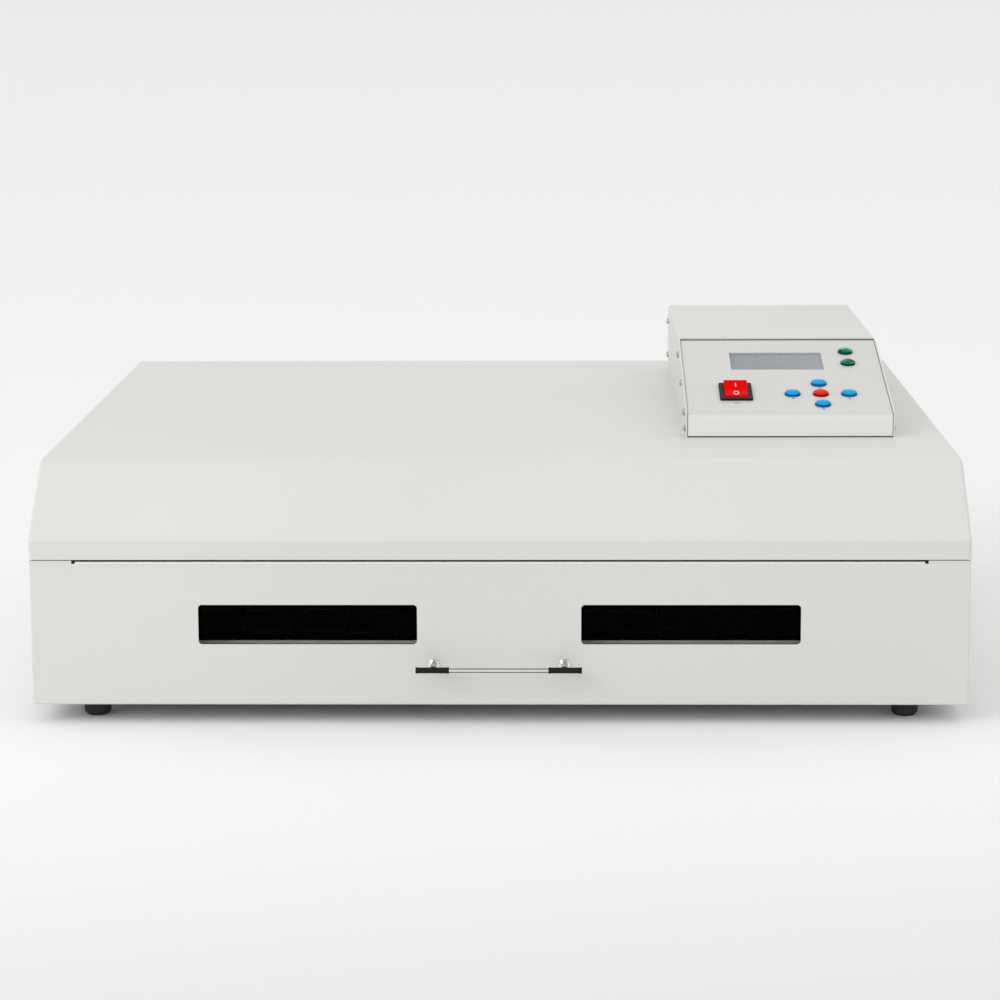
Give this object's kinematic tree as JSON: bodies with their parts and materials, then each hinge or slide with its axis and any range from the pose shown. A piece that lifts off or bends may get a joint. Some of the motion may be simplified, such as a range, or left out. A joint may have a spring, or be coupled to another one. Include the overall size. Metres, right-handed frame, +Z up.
{
  "type": "drawer reflow oven",
  "caption": "Benchtop reflow oven: cream sheet-metal case, sliding drawer with windows and handle, heated chamber, and a raised control console with display, rocker switch and push buttons.",
  "frame": {"origin": "on the floor under the middle of the oven's bounding box", "axes": "X across the front, towards the console's side; Y from the drawer front to the back; Z up"},
  "size_m": [0.7376, 0.6922, 0.2612],
  "materials": {
    "cream_paint": "satin powder coat",
    "grey_paint": "satin",
    "bright_steel": "bright",
    "zinc_steel": "zinc plated",
    "mirror_aluminium": "bright",
    "dull_aluminium": "matt",
    "chrome_plate": "polished",
    "black_rubber": "matt",
    "dark_plastic": "matt",
    "black_plastic": "semi-gloss",
    "red_rocker_plastic": "gloss",
    "blue_key_plastic": "gloss",
    "red_key_plastic": "gloss",
    "green_lens": "gloss",
    "board_laminate": "matt",
    "mineral_wool": "fibrous",
    "white_ceramic": "matt",
    "quartz": "polished",
    "clear_glass": "polished",
    "display_pane": "polished"
  },
  "bodies": {
    "chassis": {"base_tub": "cream_paint", "front_frame": "cream_paint", "top_cover": "cream_paint", "rear_panel": "cream_paint", "rubber_feet": "black_rubber", "foot_screws": "zinc_steel", "cover_screws": "zinc_steel", "rear_screws": "zinc_steel", "chamber_liner": "bright_steel", "insulation_slabs": "mineral_wool", "lamp_tubes": "quartz", "lamp_ceramics": "white_ceramic", "lamp_reflector": "mirror_aluminium", "thermocouples": "bright_steel", "exhaust_ducts": "zinc_steel", "fan_frames": "dark_plastic", "fan_guards": "chrome_plate", "fan_screws": "zinc_steel", "power_inlet": "black_plastic", "inlet_screws": "zinc_steel", "power_board": "board_laminate", "heat_sink": "dull_aluminium", "transformer": "grey_paint", "terminal_block": "black_plastic", "board_spacers": "zinc_steel", "slide_outer_rails": "zinc_steel", "console_shell": "cream_paint", "console_panel": "cream_paint", "console_back": "cream_paint", "console_screws": "zinc_steel", "display_window": "display_pane", "display_module": "black_plastic", "control_board": "board_laminate", "tact_switches": "black_plastic", "switch_body": "black_plastic", "indicator_lamps": "green_lens", "cable_grommet": "black_rubber"},
    "drawer": {"drawer_front": "cream_paint", "drawer_liner": "bright_steel", "drawer_insulation": "mineral_wool", "window_glass": "clear_glass", "glass_clips": "bright_steel", "handle_bar": "chrome_plate", "handle_sleeves": "dark_plastic", "handle_posts": "chrome_plate", "handle_screws": "zinc_steel", "tray_rim": "bright_steel", "tray_ledge": "bright_steel", "tray_wires": "bright_steel", "tray_screws": "zinc_steel", "slide_inner_rails": "zinc_steel"},
    "slide_middle": {"slide_middle_rails": "zinc_steel"},
    "left_fan": {"left_fan_rotor": "dark_plastic"},
    "right_fan": {"right_fan_rotor": "dark_plastic"},
    "rocker": {"power_rocker": "red_rocker_plastic"},
    "up_key": {"up_button": "blue_key_plastic"},
    "down_key": {"down_button": "blue_key_plastic"},
    "left_key": {"left_button": "blue_key_plastic"},
    "right_key": {"right_button": "blue_key_plastic"},
    "select_key": {"select_button": "red_key_plastic"}
  },
  "joints": [
    {"name": "drawer_slide", "type": "slide", "parent": "chassis", "child": "drawer", "axis": [0, -1, 0], "range_m": [0, 0.4]},
    {"name": "middle_rail_slide", "type": "slide", "parent": "chassis", "child": "slide_middle", "axis": [0, -1, 0], "range_m": [0, 0.2]},
    {"name": "left_fan_spin", "type": "hinge", "parent": "chassis", "child": "left_fan", "pos_m": [-0.18, 0.3279, 0.1], "axis": [0, 1, 0], "continuous": true},
    {"name": "right_fan_spin", "type": "hinge", "parent": "chassis", "child": "right_fan", "pos_m": [0.18, 0.3279, 0.1], "axis": [0, 1, 0], "continuous": true},
    {"name": "rocker_pivot", "type": "hinge", "parent": "chassis", "child": "rocker", "pos_m": [0.1953, -0.09927, 0.22735], "axis": [1, 0, 0], "range_deg": [-23, 0]},
    {"name": "up_press", "type": "slide", "parent": "chassis", "child": "up_key", "axis": [0, 0.23, -0.9732], "range_m": [0, 0.0012], "stiffness_N_per_m": 300, "springref_m": -0.002},
    {"name": "down_press", "type": "slide", "parent": "chassis", "child": "down_key", "axis": [0, 0.23, -0.9732], "range_m": [0, 0.0012], "stiffness_N_per_m": 300, "springref_m": -0.002},
    {"name": "left_press", "type": "slide", "parent": "chassis", "child": "left_key", "axis": [0, 0.23, -0.9732], "range_m": [0, 0.0012], "stiffness_N_per_m": 300, "springref_m": -0.002},
    {"name": "right_press", "type": "slide", "parent": "chassis", "child": "right_key", "axis": [0, 0.23, -0.9732], "range_m": [0, 0.0012], "stiffness_N_per_m": 300, "springref_m": -0.002},
    {"name": "select_press", "type": "slide", "parent": "chassis", "child": "select_key", "axis": [0, 0.23, -0.9732], "range_m": [0, 0.0012], "stiffness_N_per_m": 300, "springref_m": -0.002}
  ],
  "couplings": [
    {"joint": "middle_rail_slide", "follows": "drawer_slide", "ratio": 0.5}
  ]
}
